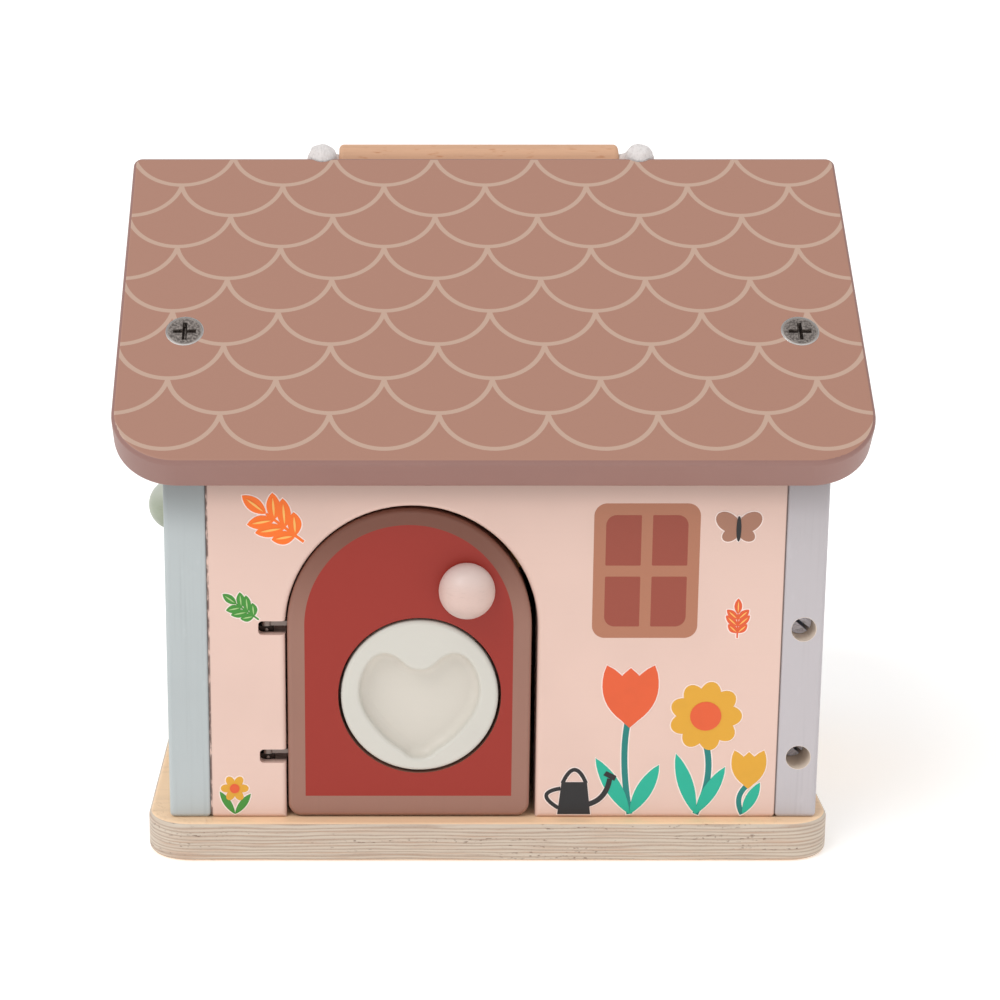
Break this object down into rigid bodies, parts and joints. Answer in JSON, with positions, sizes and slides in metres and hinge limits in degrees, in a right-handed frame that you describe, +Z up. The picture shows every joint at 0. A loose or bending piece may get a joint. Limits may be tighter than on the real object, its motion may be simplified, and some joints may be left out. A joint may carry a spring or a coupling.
{
  "type": "activity house",
  "caption": "Small painted wooden house with arched hinged doors, a turning heart dial, a scalloped gable roof and a dowel carry handle on a cord.",
  "frame": {"origin": "centre of the underside of the base plate", "axes": "+Z up, +Y towards the back of the house, +X to the right seen from the front door"},
  "size_m": [0.156, 0.1358, 0.1456],
  "materials": {
    "birch_plywood": "satin",
    "blue_grey_paint": "painted satin",
    "lilac_grey_paint": "painted satin",
    "pink_paint": "painted satin",
    "roof_paint": "painted satin",
    "front_door_paint": "painted satin",
    "side_door_paint": "painted satin",
    "pink_knob_paint": "painted satin",
    "green_knob_paint": "painted satin",
    "yellow_knob_paint": "painted satin",
    "cream_paint": "painted satin",
    "screw_steel": "zinc plated",
    "hinge_steel": "plain",
    "bare_beech": "sanded",
    "cotton_cord": "braided"
  },
  "bodies": {
    "house": {"base_plate": "birch_plywood", "left_wall": "blue_grey_paint", "right_wall": "lilac_grey_paint", "front_panel": "pink_paint", "back_panel": "pink_paint", "roof_front": "roof_paint", "roof_back": "roof_paint", "roof_screws": "screw_steel", "base_screws": "screw_steel", "front_hinge_rods": "hinge_steel", "left_hinge_rods": "hinge_steel", "right_hinge_rods": "hinge_steel", "front_hinge_pins": "hinge_steel", "left_hinge_pins": "hinge_steel", "right_hinge_pins": "hinge_steel", "front_door_stop": "bare_beech", "left_door_stop": "bare_beech", "right_door_stop": "bare_beech", "left_cord_end": "cotton_cord", "right_cord_end": "cotton_cord"},
    "front_door": {"front_door": "front_door_paint", "front_door_knob": "pink_knob_paint", "front_hinge_leaves": "hinge_steel"},
    "heart_dial": {"heart_dial": "cream_paint", "dial_washer": "screw_steel", "dial_screw": "screw_steel"},
    "left_door": {"left_door": "side_door_paint", "left_door_knob": "green_knob_paint", "left_hinge_leaves": "hinge_steel"},
    "right_door": {"right_door": "side_door_paint", "right_door_knob": "yellow_knob_paint", "right_hinge_leaves": "hinge_steel"},
    "handle": {"handle_grip": "bare_beech", "handle_cord": "cotton_cord"}
  },
  "joints": [
    {"name": "front_door_swing", "type": "hinge", "parent": "house", "child": "front_door", "pos_m": [-0.0469, -0.0546, 0.0362], "axis": [0, 0, -1], "range_deg": [0, 100]},
    {"name": "left_door_swing", "type": "hinge", "parent": "house", "child": "left_door", "pos_m": [-0.0654, 0.0299, 0.0362], "axis": [0, 0, -1], "range_deg": [0, 100]},
    {"name": "right_door_swing", "type": "hinge", "parent": "house", "child": "right_door", "pos_m": [0.0672, -0.0299, 0.0362], "axis": [0, 0, -1], "range_deg": [0, 100]},
    {"name": "heart_dial_turn", "type": "hinge", "parent": "front_door", "child": "heart_dial", "pos_m": [-0.0148, -0.0571, 0.03581], "axis": [0, -1, 0], "continuous": true},
    {"name": "handle_swing", "type": "hinge", "parent": "house", "child": "handle", "pos_m": [0, 0.00265, 0.143], "axis": [1, 0, 0], "range_deg": [0, 174]}
  ]
}
